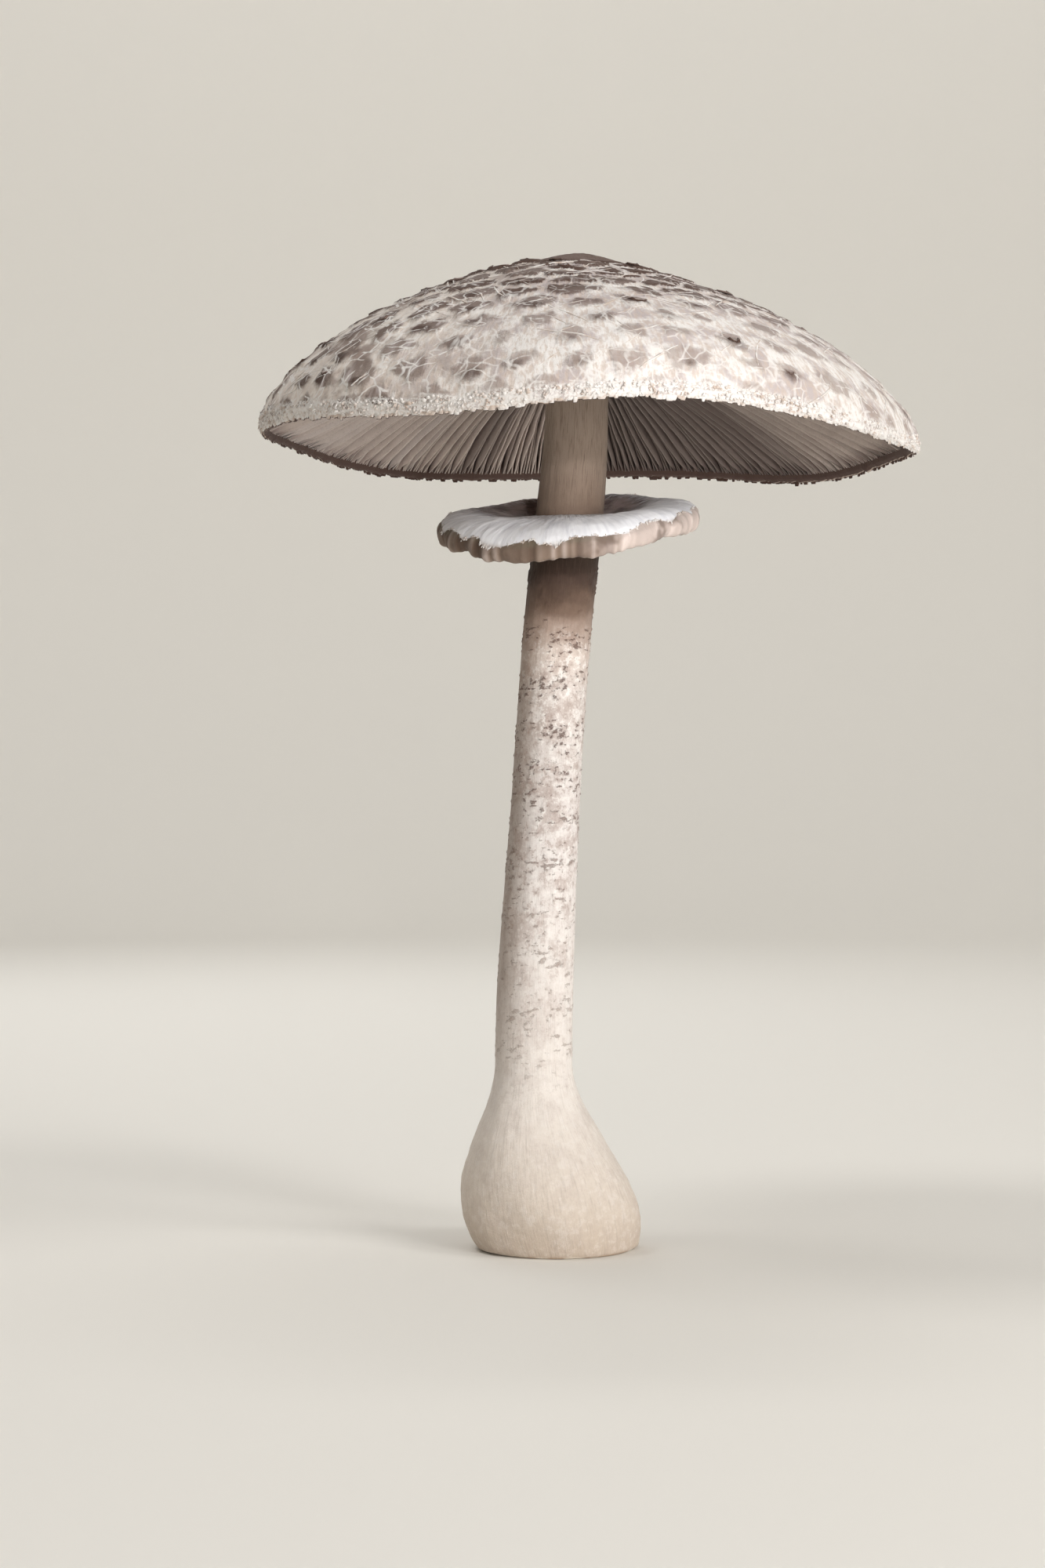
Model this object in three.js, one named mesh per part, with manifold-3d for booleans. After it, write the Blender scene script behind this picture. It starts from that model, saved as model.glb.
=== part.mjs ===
// Parasol mushroom, picked and standing on its cut foot.
// Millimetres, +Z up. The origin is the centre of the flat cut under the bulb, +X is the side that the stem
// leans to, and -Y is the front, where the cap's rim hangs level and the ring droops.
// Four grown pieces: the scaly cap, the gills under it, the stem with its bulb, and the loose double ring,
// which slides on the stem.
import * as THREE from "three";
import { mergeVertices } from "three/addons/utils/BufferGeometryUtils.js";
import Module from "manifold-3d";

const wasm = await Module();
wasm.setup();

// ---------------------------------------------------------------- driving dimensions

const fitGap = 0.35; // clear space between two pieces that touch

const cap = {
  radius: 100,
  rimZ: 244, // mean height of the rim above the foot
  height: 54.6, // from the rim to the crown, without the umbo
  crown: 1.38, // powers of the dome's outline
  shoulder: 0.55,
  umbo: 2.2,
  umboRadius: 15,
  leftDrop: 1.35, // how much lower its shoulder is on the -X side
  leftShoulder: 0.62,
  apexX: 6.1, // the crown stands over the top of the stem
  rimX: 9.1, // the rim's centre lies a little further out
  sectors: 54,
};

const flesh = {
  radius: 97.2, // inside of the rim
  height: 43.8, // the cap's flesh is 13 mm thick at the crown
  crown: 1.7,
  socketRadius: 10.2, // the stem's end sits in a shallow socket
  socketDepth: 5,
};

const gill = {
  full: 54,
  thickness: 0.8,
  innerRadius: 13.5, // the gills stop short of the stem
  outerRadius: 95.4,
  depth: 15.5, // next to the stem
  endDepth: 5, // at the rim
  bulge: 3.5, // how far their lower edges curve up from a straight line
  shortStart: 45, // every second gill starts this far out
  collarWidth: 2.6, // the ring of tissue round the stem that the gills end on
  seamWidth: 1.6, // the thin seam that joins their outer ends under the rim
};

const stem = {
  topZ: cap.rimZ + flesh.height + flesh.socketDepth - 1.4, // clear of the tilted roof of its socket
  topRadius: 9.4,
  middleRadius: 10.3,
  lowRadius: 11.7,
  bulbRadius: 26.5,
  footRadius: 24,
  bulbZ: 12, // its widest height
  neckZ: 56, // where the bulb starts to swell
  sides: 24,
};

const ring = {
  boreRadius: 12.3,
  radius: 39.5,
  z: 221.8, // height of its collar on the stem
  x: 3.5,
  collar: 3.2,
  lipGap: 2.6, // depth of the groove between its two edges
  lobes: 15,
  sectors: 60,
};

// ---------------------------------------------------------------- shared helpers

// The same draws each time: a small 32-bit generator with a fixed seed.
function makeRandom(seed) {
  let state = seed;
  return () => {
    state = (state + 0x6d2b79f5) | 0;
    let t = Math.imul(state ^ (state >>> 15), 1 | state);
    t = (t + Math.imul(t ^ (t >>> 7), 61 | t)) ^ t;
    return ((t ^ (t >>> 14)) >>> 0) / 4294967296;
  };
}

// A closed three.js geometry as a manifold-3d solid.
function solidOf(geometry) {
  const bare = geometry.index ? geometry.toNonIndexed() : geometry.clone();
  bare.deleteAttribute("uv");
  bare.deleteAttribute("normal");
  const merged = mergeVertices(bare, 1e-4);
  const index = merged.index.array;
  const faces = [];
  for (let i = 0; i < index.length; i += 3) {
    const [a, b, c] = [index[i], index[i + 1], index[i + 2]];
    if (a !== b && b !== c && c !== a) faces.push(a, b, c);
  }
  return new wasm.Manifold(
    new wasm.Mesh({
      numProp: 3,
      vertProperties: merged.attributes.position.array,
      triVerts: new Uint32Array(faces),
    }),
  );
}

// A solid back as a geometry, with each vertex moved by warp(point).
function geometryOf(solid, warp) {
  const mesh = solid.getMesh();
  const point = new THREE.Vector3();
  const positions = new Float32Array(mesh.numVert * 3);
  for (let i = 0; i < mesh.numVert; i++) {
    point.fromArray(mesh.vertProperties, i * mesh.numProp);
    warp(point);
    point.toArray(positions, i * 3);
  }
  const geometry = new THREE.BufferGeometry();
  geometry.setAttribute("position", new THREE.BufferAttribute(positions, 3));
  geometry.setIndex(new THREE.BufferAttribute(mesh.triVerts, 1));
  geometry.computeVertexNormals();
  return geometry;
}

// A body turned round the Z axis from points (radius, z).
function turned(outline, sectors) {
  const points = outline.map(([r, z]) => new THREE.Vector2(r, z));
  return new THREE.LatheGeometry(points, sectors).rotateX(Math.PI / 2);
}

function mix(a, b, t) {
  return a + (b - a) * t;
}

function smooth(low, high, value) {
  const t = Math.min(Math.max((value - low) / (high - low), 0), 1);
  return t * t * (3 - 2 * t);
}

// ---------------------------------------------------------------- cap

// Height of the dome over the rim at a share s of its radius.
function dome(s, height, crown, shoulder) {
  return height * Math.max(1 - s ** crown, 0) ** shoulder;
}

function skinZ(r) {
  const s = r / cap.radius;
  return dome(s, cap.height, cap.crown, cap.shoulder) + cap.umbo * Math.exp(-((r / cap.umboRadius) ** 2));
}

function fleshZ(r) {
  return dome(r / flesh.radius, flesh.height, flesh.crown, cap.shoulder);
}

// The cap isn't a true round: it leans to +X, its -X shoulder is lower, and its rim waves up and down and in
// and out, with an arch on the front.
function bendCap(point) {
  const r = Math.hypot(point.x, point.y);
  const s = r / cap.radius;
  const a = Math.atan2(point.y, point.x);
  const tilt = -4.4 * s * Math.cos(a);
  const fullShoulder = dome(s, cap.height, cap.crown, cap.shoulder);
  const lowShoulder = dome(s, cap.height, cap.crown, cap.leftShoulder);
  const left = 0.5 - 0.5 * Math.cos(a);
  const slump = cap.leftDrop * left * (fullShoulder - lowShoulder);
  const arch = Math.cos(a) + 0.5 * Math.cos(2 * a + 2.64) + 1.2 * Math.cos(3 * a - 3.07);
  const wave = 1.3 * Math.cos(4 * a - 0.27) + 0.9 * Math.cos(5 * a - 0.3) + 0.3 * Math.cos(7 * a - 1.2);
  const spread = 1 + s * (0.008 * Math.cos(3 * a + 0.6) + 0.004 * Math.cos(8 * a) - 0.012);
  point.x = point.x * spread + mix(cap.apexX, cap.rimX, s * s);
  point.y *= spread;
  point.z += cap.rimZ + tilt - slump + (arch + wave) * s ** 4;
}

const skinRadii = [0, 7, 15, 27, 42, 57, 70, 81, 89.5, 95, 98.6];
const fleshRadii = [flesh.radius, gill.outerRadius, 86, 70, gill.shortStart, gill.innerRadius, flesh.socketRadius];

function makeCapBody() {
  const skin = skinRadii.map((r) => [r, skinZ(r)]);
  const rim = [[cap.radius, 1.2], [cap.radius - 0.5, -0.9]];
  const under = fleshRadii.map((r) => [r, fleshZ(r)]);
  const socketTop = fleshZ(flesh.socketRadius) + flesh.socketDepth;
  const outline = [...skin, ...rim, ...under, [flesh.socketRadius, socketTop], [0, socketTop]];
  return turned(outline.reverse(), cap.sectors);
}

// One scale: a shingle of torn skin, rooted on its inner side, with a lifted point on its outer side.
function makeScale(r, angle, length, width, lift, thickness) {
  const shape = new THREE.Shape([
    new THREE.Vector2(0.36 * width, -0.5 * length),
    new THREE.Vector2(0.5 * width, 0.1 * length),
    new THREE.Vector2(0.04 * width, 0.5 * length),
    new THREE.Vector2(-0.5 * width, 0.02 * length),
  ]);
  const flake = new THREE.ExtrudeGeometry(shape, { depth: thickness, bevelEnabled: false });
  const step = 0.5;
  const slope = Math.atan2(skinZ(r - step) - skinZ(r + step), 2 * step);
  const sunk = 0.5 * length * Math.sin(lift) - 0.7 * thickness;
  flake.rotateX(lift);
  flake.translate(0, 0, sunk);
  flake.rotateX(-slope);
  flake.translate(0, r, skinZ(r));
  return flake.rotateZ(angle - Math.PI / 2);
}

// The scales stand in broken rings. They are wide and close round the umbo, and small and far apart at the rim.
function makeScales() {
  const random = makeRandom(20);
  const rows = 7;
  const scales = [];
  for (let row = 0; row < rows; row++) {
    const t = row / (rows - 1);
    const r = mix(23, 91, t);
    const width = mix(12, 8.5, t);
    const count = Math.round((2 * Math.PI * r) / (width * mix(1.15, 2.5, t)));
    for (let i = 0; i < count; i++) {
      const angle = ((i + 0.5 * (row % 2) + 0.5 * (random() - 0.5)) * 2 * Math.PI) / count;
      const size = mix(0.8, 1.2, random());
      const out = r + 4 * (random() - 0.5);
      scales.push(makeScale(out, angle, 8.8 * size, width * size, mix(0.12, 0.24, random()), 1.1));
    }
  }
  return scales;
}

// The unbroken brown skin on the crown, raised a little, with a lobed edge.
function makeCrownPatch() {
  const edge = cap.umboRadius + 1;
  const shares = [0, 0.4, 0.75, 1];
  const over = shares.map((share) => [share * edge, skinZ(share * edge) + 0.8 * (1 - share ** 4)]);
  const outline = [...over, [edge - 1, skinZ(edge) - 1.5], [0, skinZ(edge) - 1.5]];
  const patch = turned(outline.reverse(), 36);
  const places = patch.attributes.position;
  for (let i = 0; i < places.count; i++) {
    const angle = Math.atan2(places.getY(i), places.getX(i));
    const grow = 1 + 0.09 * Math.cos(5 * angle + 1) + 0.05 * Math.cos(9 * angle);
    places.setXY(i, places.getX(i) * grow, places.getY(i) * grow);
  }
  return patch;
}

function makeCap() {
  let solid = solidOf(makeCapBody()).add(solidOf(makeCrownPatch()));
  for (const scale of makeScales()) solid = solid.add(solidOf(scale));
  const random = makeRandom(7);
  const teeth = Array.from({ length: cap.sectors }, () => mix(-1.1, 0.9, random()));
  return geometryOf(solid, (point) => {
    const r = Math.hypot(point.x, point.y);
    const angle = Math.atan2(point.y, point.x);
    const tooth = teeth[Math.round((angle / (2 * Math.PI)) * cap.sectors + cap.sectors) % cap.sectors];
    if (point.z < 1.5 && r > flesh.radius + 1) point.z += tooth;
    bendCap(point);
  });
}

// ---------------------------------------------------------------- gills

// Height of the gills' roof, just clear of the cap's flesh, which runs straight between fleshRadii.
function roofZ(r) {
  const i = fleshRadii.findIndex((radius) => radius <= r);
  const [outer, inner] = [fleshRadii[i - 1], fleshRadii[i]];
  return mix(fleshZ(inner), fleshZ(outer), (r - inner) / (outer - inner)) - fitGap;
}

// The gills' lower edges run out to the rim in a slow curve.
function gillDepth(r) {
  const u = (r - gill.innerRadius) / (gill.outerRadius - gill.innerRadius);
  const start = fleshZ(gill.innerRadius) - gill.depth;
  const end = fleshZ(gill.outerRadius) - gill.endDepth;
  return fleshZ(r) - mix(start, end, u) - gill.bulge * Math.sin(Math.PI * Math.min(u, 1));
}

// One blade, as its side outline extruded to its thickness. Its roof follows the flesh point for point, and its
// ends stop inside the collar and the seam.
function makeGill(start, shareOfDepth, edges, angle) {
  const sunk = 0.5; // the blades' roofs lie a little under those of the collar and the seam
  const end = gill.outerRadius - 0.5 * gill.seamWidth;
  const roofRadii = [end, ...fleshRadii.filter((r) => r >= start && r < end)];
  const roof = roofRadii.map((r) => [r, roofZ(r) - sunk]);
  const low = [];
  for (let i = 0; i <= edges; i++) {
    const r = mix(start, end, i / edges);
    const rise = i === 0 && start > gill.innerRadius ? 0.35 : 1;
    low.push([r, roofZ(r) - gillDepth(r) * shareOfDepth * rise]);
  }
  const outline = [...roof, ...low].map(([r, z]) => new THREE.Vector2(r, z));
  const blade = new THREE.ExtrudeGeometry(new THREE.Shape(outline), {
    depth: gill.thickness,
    bevelEnabled: false,
  });
  blade.translate(0, 0, -0.5 * gill.thickness);
  return blade.rotateX(Math.PI / 2).rotateZ(angle);
}

// A thin ring, with its top along the roof, that holds the blades' ends.
function makeBand(inner, outer, drop) {
  const outline = [
    [inner, roofZ(outer) - drop],
    [outer, roofZ(outer) - drop],
    [outer, roofZ(outer)],
    [inner, roofZ(inner)],
    [inner, roofZ(outer) - drop],
  ];
  return turned(outline, cap.sectors);
}

function makeGills() {
  const half = 0.5 * gill.collarWidth;
  const lip = 1; // both bands hang a little lower than the blades' ends
  const collar = makeBand(gill.innerRadius - half, gill.innerRadius + half, gill.depth + lip);
  const seam = makeBand(gill.outerRadius - gill.seamWidth, gill.outerRadius + 0.2, gill.endDepth + lip);
  let solid = solidOf(collar).add(solidOf(seam));
  for (let i = 0; i < gill.full; i++) {
    const angle = (2 * Math.PI * i) / gill.full;
    const beside = (0.9 * Math.PI) / gill.full;
    solid = solid.add(solidOf(makeGill(gill.innerRadius, 1, 5, angle)));
    solid = solid.add(solidOf(makeGill(gill.shortStart, 0.8, 3, angle + beside)));
  }
  return geometryOf(solid, bendCap);
}

// ---------------------------------------------------------------- stem

// Where the middle of the stem lies at each height: off-centre on its bulb, then leaning to +X in a slow bend.
const stemLine = new THREE.CatmullRomCurve3([
  new THREE.Vector3(0, 0, 0),
  new THREE.Vector3(-2.8, 0.3, 16),
  new THREE.Vector3(-6.5, 0.8, 42),
  new THREE.Vector3(-6.5, 1.2, 76),
  new THREE.Vector3(-3.5, 0.8, 132),
  new THREE.Vector3(0.2, 0.2, 186),
  new THREE.Vector3(4.1, 0, 223),
  new THREE.Vector3(5.9, 0, 246),
  new THREE.Vector3(6.1, 0, 270),
  new THREE.Vector3(6.1, 0, 296),
]);
const stemLineLookup = stemLine.getSpacedPoints(400);

function stemCentre(z) {
  let i = 1;
  while (i < stemLineLookup.length - 1 && stemLineLookup[i].z < z) i++;
  const [a, b] = [stemLineLookup[i - 1], stemLineLookup[i]];
  return a.clone().lerp(b, Math.min(Math.max((z - a.z) / (b.z - a.z), 0), 1));
}

function stemRadius(z) {
  if (z <= stem.bulbZ) {
    const drop = 1 - z / stem.bulbZ;
    return mix(stem.bulbRadius, stem.footRadius, drop ** 2.2);
  }
  const shaft = mix(stem.lowRadius, stem.middleRadius, smooth(60, 150, z));
  const taper = mix(shaft, stem.topRadius, smooth(215, 262, z));
  return mix(stem.bulbRadius, taper, smooth(stem.bulbZ, stem.neckZ, z));
}

function makeStem() {
  const heights = [0, 2, 5, 9, 14, 20, 26, 33, 40, 47];
  const rows = 27;
  for (let i = 1; i <= rows; i++) heights.push(mix(47, stem.topZ - 1, i / rows));
  const wall = heights.map((z) => [stemRadius(z), z]);
  const outline = [[0, 0], ...wall, [stem.topRadius - 1, stem.topZ], [0, stem.topZ]];
  const body = solidOf(turned(outline, stem.sides));
  return geometryOf(body, (point) => {
    const z = point.z;
    const angle = Math.atan2(point.y, point.x);
    const lumps = 0.02 * Math.cos(3 * angle + 1) + 0.016 * Math.cos(5 * angle + 0.12 * z);
    const bands = 0.02 * Math.sin(0.75 * z + 2 * Math.sin(3 * angle)) * smooth(40, 60, z) * (1 - smooth(195, 210, z));
    const grow = 1 + lumps * (1 - smooth(10, 60, z)) + bands;
    const centre = stemCentre(z);
    point.x = point.x * grow + centre.x;
    point.y = point.y * grow + centre.y;
  });
}

// ---------------------------------------------------------------- ring

// Section of the ring from the collar out: smooth upper skirt, upper edge, groove, ragged lower edge, underside.
function ringOutline() {
  const low = -ring.collar;
  return [
    [ring.boreRadius, 0.6],
    [ring.boreRadius + 1.6, 1.5],
    [27, 1.6],
    [35.5, 0.9],
    [ring.radius - 0.2, -0.4],
    [ring.radius - 0.4, -1.5],
    [ring.radius - ring.lipGap, -2.4],
    [ring.radius - 1.2, -3.6],
    [ring.radius - 1.6, -5.9],
    [ring.radius - 3.6, -6.1],
    [26, low - 0.2],
    [ring.boreRadius + 1.2, low - 0.8],
    [ring.boreRadius, low],
    [ring.boreRadius, 0.6],
  ];
}

function bendRing(point) {
  const r = Math.hypot(point.x, point.y);
  const angle = Math.atan2(point.y, point.x);
  const out = (r - ring.boreRadius) / (ring.radius - ring.boreRadius);
  const droop = 2.9 * Math.cos(angle) + 10.1 * Math.sin(angle) + 0.75 * Math.cos(2 * angle + 0.64);
  const wave = 0.45 * Math.cos(3 * angle + 2.52) + 0.4 * Math.cos(7 * angle - 1.14);
  const lobe = Math.abs(Math.sin(0.5 * ring.lobes * angle + 0.8 * Math.sin(2 * angle) - 0.48));
  const under = smooth(-1.5, -5, point.z) * smooth(0.75, 0.95, out);
  const grow = 1 + 0.014 * out * Math.cos(4 * angle + 0.3) - 0.03 * under * (1 - lobe);
  point.z += ring.z + (droop + wave) * out - 0.9 * under * lobe;
  point.x = point.x * grow + ring.x;
  point.y *= grow;
}

function makeRing() {
  const body = solidOf(turned(ringOutline().reverse(), ring.sectors));
  return geometryOf(body, bendRing);
}

// ---------------------------------------------------------------- the mushroom

function piece(name, geometry, color, roughness) {
  const material = new THREE.MeshStandardMaterial({ color, roughness, metalness: 0 });
  const mesh = new THREE.Mesh(geometry, material);
  mesh.name = name;
  return mesh;
}

const mushroom = new THREE.Group();
mushroom.add(piece("cap", makeCap(), 0xd8cec4, 0.9));
mushroom.add(piece("gills", makeGills(), 0x8d7b72, 0.85));
mushroom.add(piece("stem", makeStem(), 0xcbbdb0, 0.8));
mushroom.add(piece("ring", makeRing(), 0xe2dfdc, 0.9));

export default mushroom;
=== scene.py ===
import random
from math import atan2, cos, exp, hypot, pi, radians, sin, sqrt

import bmesh
import bpy
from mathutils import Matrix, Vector, kdtree, noise


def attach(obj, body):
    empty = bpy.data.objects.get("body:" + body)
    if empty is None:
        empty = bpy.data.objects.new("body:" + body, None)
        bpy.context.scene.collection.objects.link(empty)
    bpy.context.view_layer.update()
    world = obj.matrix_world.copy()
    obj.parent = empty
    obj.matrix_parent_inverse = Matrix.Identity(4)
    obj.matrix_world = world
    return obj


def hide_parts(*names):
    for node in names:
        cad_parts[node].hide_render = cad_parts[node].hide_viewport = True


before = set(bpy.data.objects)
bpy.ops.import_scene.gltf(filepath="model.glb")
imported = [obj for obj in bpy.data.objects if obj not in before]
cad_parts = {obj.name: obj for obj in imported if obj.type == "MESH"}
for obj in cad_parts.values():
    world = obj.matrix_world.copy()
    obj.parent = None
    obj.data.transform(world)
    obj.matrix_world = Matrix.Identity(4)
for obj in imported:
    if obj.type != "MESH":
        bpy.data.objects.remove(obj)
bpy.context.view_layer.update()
print("frame loaded:", ", ".join(sorted(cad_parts)))

# Lengths are in millimetres until a piece is finished, when it is scaled to metres.


def mix(a, b, t):
    return a + (b - a) * t


def smooth(low, high, value):
    t = min(max((value - low) / (high - low), 0), 1)
    return t * t * (3 - 2 * t)


def spun(r, angle, z=0.0):
    # a place given by its radius, its turn round the axis and its height
    return Vector((r * cos(angle), r * sin(angle), z))


def readTurn(place):
    # the radius and the angle of a place
    return hypot(place.x, place.y), atan2(place.y, place.x)


def turnNoise(angle, turns, along=0.0):
    # noise that closes on itself round the axis, with about 6 * turns waves
    return noise.noise(spun(turns, angle, along))


def ripple(angle, waves):
    # a sum of waves round the axis, each given by its size, its count and its turn
    return sum(size * cos(count * angle + turn) for size, count, turn in waves)


def resample(points, count):
    # the same line with its points evenly spaced, and its length
    lengths = [0.0]
    for (r0, z0), (r1, z1) in zip(points, points[1:]):
        lengths.append(lengths[-1] + hypot(r1 - r0, z1 - z0))
    result = []
    i = 0
    for k in range(count):
        target = lengths[-1] * k / (count - 1)
        while i < len(points) - 2 and lengths[i + 1] < target:
            i += 1
        t = (target - lengths[i]) / max(lengths[i + 1] - lengths[i], 1e-9)
        result.append((mix(points[i][0], points[i + 1][0], t), mix(points[i][1], points[i + 1][1], t)))
    return result, lengths[-1]


def spinOutline(outline, steps, closed=False, marks=None):
    # a body turned from points (radius, height); each row of vertices keeps its point's mark
    bm = bmesh.new()
    markLayer = bm.verts.layers.float.new("mark")
    verts = []
    for i, (r, z) in enumerate(outline):
        vert = bm.verts.new((r, 0, z))
        vert[markLayer] = marks[i] if marks else i
        verts.append(vert)
    edges = [bm.edges.new(pair) for pair in zip(verts, verts[1:])]
    if closed:
        edges.append(bm.edges.new((verts[-1], verts[0])))
    bmesh.ops.spin(
        bm, geom=verts + edges, cent=(0, 0, 0), axis=(0, 0, 1), angle=2 * pi, steps=steps, use_merge=True
    )
    bmesh.ops.remove_doubles(bm, verts=bm.verts, dist=1e-4)
    bmesh.ops.recalc_face_normals(bm, faces=bm.faces)
    bm.normal_update()
    return bm, markLayer


def newLayers(bm, *names):
    return [bm.verts.layers.float.new(name) for name in names]


def addCard(bm, across, along, place):
    # a small grid whose vertices are laid by place(u, v, vertex), with u and v from 0 to 1
    for vert in bmesh.ops.create_grid(bm, x_segments=across, y_segments=along, size=1)["verts"]:
        vert.co = place((vert.co.x + 1) / 2, (vert.co.y + 1) / 2, vert)


def addSpindle(bm, around, along, place):
    # a closed thread, pinched at both ends: place(turn, v) gives the point at an angle of its section
    for vert in bmesh.ops.create_grid(bm, x_segments=around, y_segments=along, size=1)["verts"]:
        vert.co = place(pi * (vert.co.x + 1), (vert.co.y + 1) / 2)


def addTuft(bm, root, direction, length, thickness, tipShare=0.25):
    # a four-sided spike of wool
    side = direction.orthogonal().normalized()
    other = direction.cross(side)
    made = bmesh.ops.create_cone(
        bm, cap_ends=True, segments=4, radius1=thickness, radius2=thickness * tipShare, depth=1
    )["verts"]
    for vert in made:
        vert.co = root + direction * (vert.co.z + 0.5) * length + side * vert.co.x + other * vert.co.y


def addWool(bm, draw, facts, rootAt):
    # tufts that hang down and outwards from rootAt(angle, outward direction)
    for _ in range(facts["tufts"]):
        angle = draw.uniform(0, 2 * pi)
        out = spun(1, angle)
        root = rootAt(angle, out)
        side = Vector((-out.y, out.x, 0)) * draw.gauss(0, facts["stray"])
        outwards = out * draw.uniform(*facts["outwards"])
        direction = (outwards + side + Vector((0, 0, -draw.uniform(*facts["down"])))).normalized()
        addTuft(bm, root, direction, draw.uniform(*facts["length"]), draw.uniform(*facts["thickness"]))


def addObject(name, data):
    made = bpy.data.objects.new(name, data)
    bpy.context.scene.collection.objects.link(made)
    return made


def addMesh(bm, name, material):
    mesh = bpy.data.meshes.new(name)
    bm.to_mesh(mesh)
    bm.free()
    mesh.shade_smooth()
    mesh.materials.append(material)
    return addObject(name, mesh)


def finishPiece(bm, name, material, body, replaced=None):
    bmesh.ops.recalc_face_normals(bm, faces=bm.faces)
    bmesh.ops.scale(bm, vec=(0.001, 0.001, 0.001), verts=bm.verts)
    piece = addMesh(bm, name, material)
    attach(piece, body)
    if replaced:
        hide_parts(replaced)
    print(name, "has", sum(len(p.vertices) - 2 for p in piece.data.polygons), "triangles")


def srgb(r, g, b):
    # a colour given in screen values from 0 to 255
    def linear(c):
        c /= 255
        return c / 12.92 if c <= 0.04045 else ((c + 0.055) / 1.055) ** 2.4

    return (linear(r), linear(g), linear(b), 1)


def named(colors, stops):
    # a ramp's stops, from the place and the name of each colour
    return [(place, colors[name]) for place, name in stops.items()]


class Wiring:
    # short calls that add and join the nodes of one tree, which may be a material's
    def __init__(self, tree, material=None):
        self.tree = tree
        self.material = material
        self.shader = tree.nodes.get("Principled BSDF")

    def feed(self, socket, value):
        if isinstance(value, bpy.types.NodeSocket):
            self.tree.links.new(value, socket)
        else:
            socket.default_value = value

    def node(self, kind, settings=None, **inputs):
        made = self.tree.nodes.new(kind)
        for key, value in (settings or {}).items():
            setattr(made, key, value)
        for key, value in inputs.items():
            self.feed(made.inputs[key], value)
        return made

    def math(self, operation, *values):
        made = self.node("ShaderNodeMath", {"operation": operation})
        for socket, value in zip(made.inputs, values):
            self.feed(socket, value)
        return made.outputs[0]

    def times(self, a, b):
        return self.math("MULTIPLY", a, b)

    def plus(self, a, b):
        return self.math("ADD", a, b)

    def rising(self, value, slope, start):
        return self.math("MULTIPLY_ADD", value, slope, start)

    def around(self, value, amount):
        # a value from 0 to 1 made to swing to both sides of zero
        return self.times(self.math("SUBTRACT", value, 0.5), amount)

    def vector(self, operation, *values):
        made = self.node("ShaderNodeVectorMath", {"operation": operation})
        for socket, value in zip(made.inputs, values):
            self.feed(socket, value)
        return made.outputs[0]

    def ramp(self, value, stops):
        made = self.node("ShaderNodeValToRGB", Fac=value)
        elements = made.color_ramp.elements
        while len(elements) < len(stops):
            elements.new(0.5)
        for element, (place, color) in zip(elements, stops):
            element.position = place
            element.color = color
        return made.outputs["Color"]

    def step(self, value, low, high):
        made = self.node("ShaderNodeMapRange", {"interpolation_type": "SMOOTHSTEP"})
        for key, given in (("Value", value), ("From Min", low), ("From Max", high)):
            self.feed(made.inputs[key], given)
        return made.outputs["Result"]

    def blend(self, share, a, b):
        made = self.node("ShaderNodeMix", {"data_type": "RGBA"})
        for i, value in ((0, share), (6, a), (7, b)):
            self.feed(made.inputs[i], value)
        return made.outputs[2]

    def over(self, under, color, share, *more):
        # a colour laid over another, by the product of its shares
        for value in more:
            share = self.times(share, value)
        return self.blend(share, under, color)

    def noise(self, vector, scale, detail=3.0, rough=0.55):
        made = self.node("ShaderNodeTexNoise", Vector=vector, Scale=scale, Detail=detail, Roughness=rough)
        return made.outputs["Fac"]

    def attribute(self, name, output="Fac"):
        return self.node("ShaderNodeAttribute", {"attribute_name": name}).outputs[output]

    def objectPlace(self):
        return self.node("ShaderNodeTexCoord").outputs["Object"]

    def threads(self, place, count, length):
        made = self.node("ShaderNodeGroup", {"node_tree": threadsGroup}, Place=place)
        self.feed(made.inputs["Stretch"], (count, count, length))
        return made.outputs["Coarse"], made.outputs["Fine"]

    def felt(self, cloud, grain):
        facts = {"Place": self.objectPlace(), "Cloud": cloud, "Grain": grain}
        made = self.node("ShaderNodeGroup", {"node_tree": feltGroup}, **facts)
        return made.outputs["Clouds"], made.outputs["Grains"], made.outputs["Height"]


def newGroup(name, inputs, outputs):
    group = bpy.data.node_groups.new(name, "ShaderNodeTree")
    for label, kind in inputs.items():
        group.interface.new_socket(name=label, in_out="INPUT", socket_type="NodeSocket" + kind)
    for label in outputs:
        group.interface.new_socket(name=label, in_out="OUTPUT", socket_type="NodeSocketFloat")
    return group, group.nodes.new("NodeGroupInput"), group.nodes.new("NodeGroupOutput")


def makeThreadsGroup():
    # long threads that run along the third axis of the place
    inputs = {"Place": "Vector", "Stretch": "Vector"}
    group, start, end = newGroup("long threads", inputs, ("Coarse", "Fine"))
    w = Wiring(group)
    stretched = w.vector("MULTIPLY", start.outputs["Place"], start.outputs["Stretch"])
    w.feed(end.inputs["Coarse"], w.noise(stretched, 1.0, 2.0))
    w.feed(end.inputs["Fine"], w.noise(stretched, 3.1, 4.0, 0.65))
    return group


def makeFeltGroup():
    # soft clouds of tone with a fine grain
    inputs = {"Place": "Vector", "Cloud": "Float", "Grain": "Float"}
    group, start, end = newGroup("felt", inputs, ("Clouds", "Grains", "Height"))
    w = Wiring(group)
    clouds = w.noise(start.outputs["Place"], start.outputs["Cloud"], 4.0, 0.6)
    grains = w.noise(start.outputs["Place"], start.outputs["Grain"], 3.0, 0.7)
    w.feed(end.inputs["Clouds"], clouds)
    w.feed(end.inputs["Grains"], grains)
    w.feed(end.inputs["Height"], w.plus(w.times(clouds, 0.6), w.times(grains, 0.4)))
    return group


threadsGroup = makeThreadsGroup()
feltGroup = makeFeltGroup()


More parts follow.
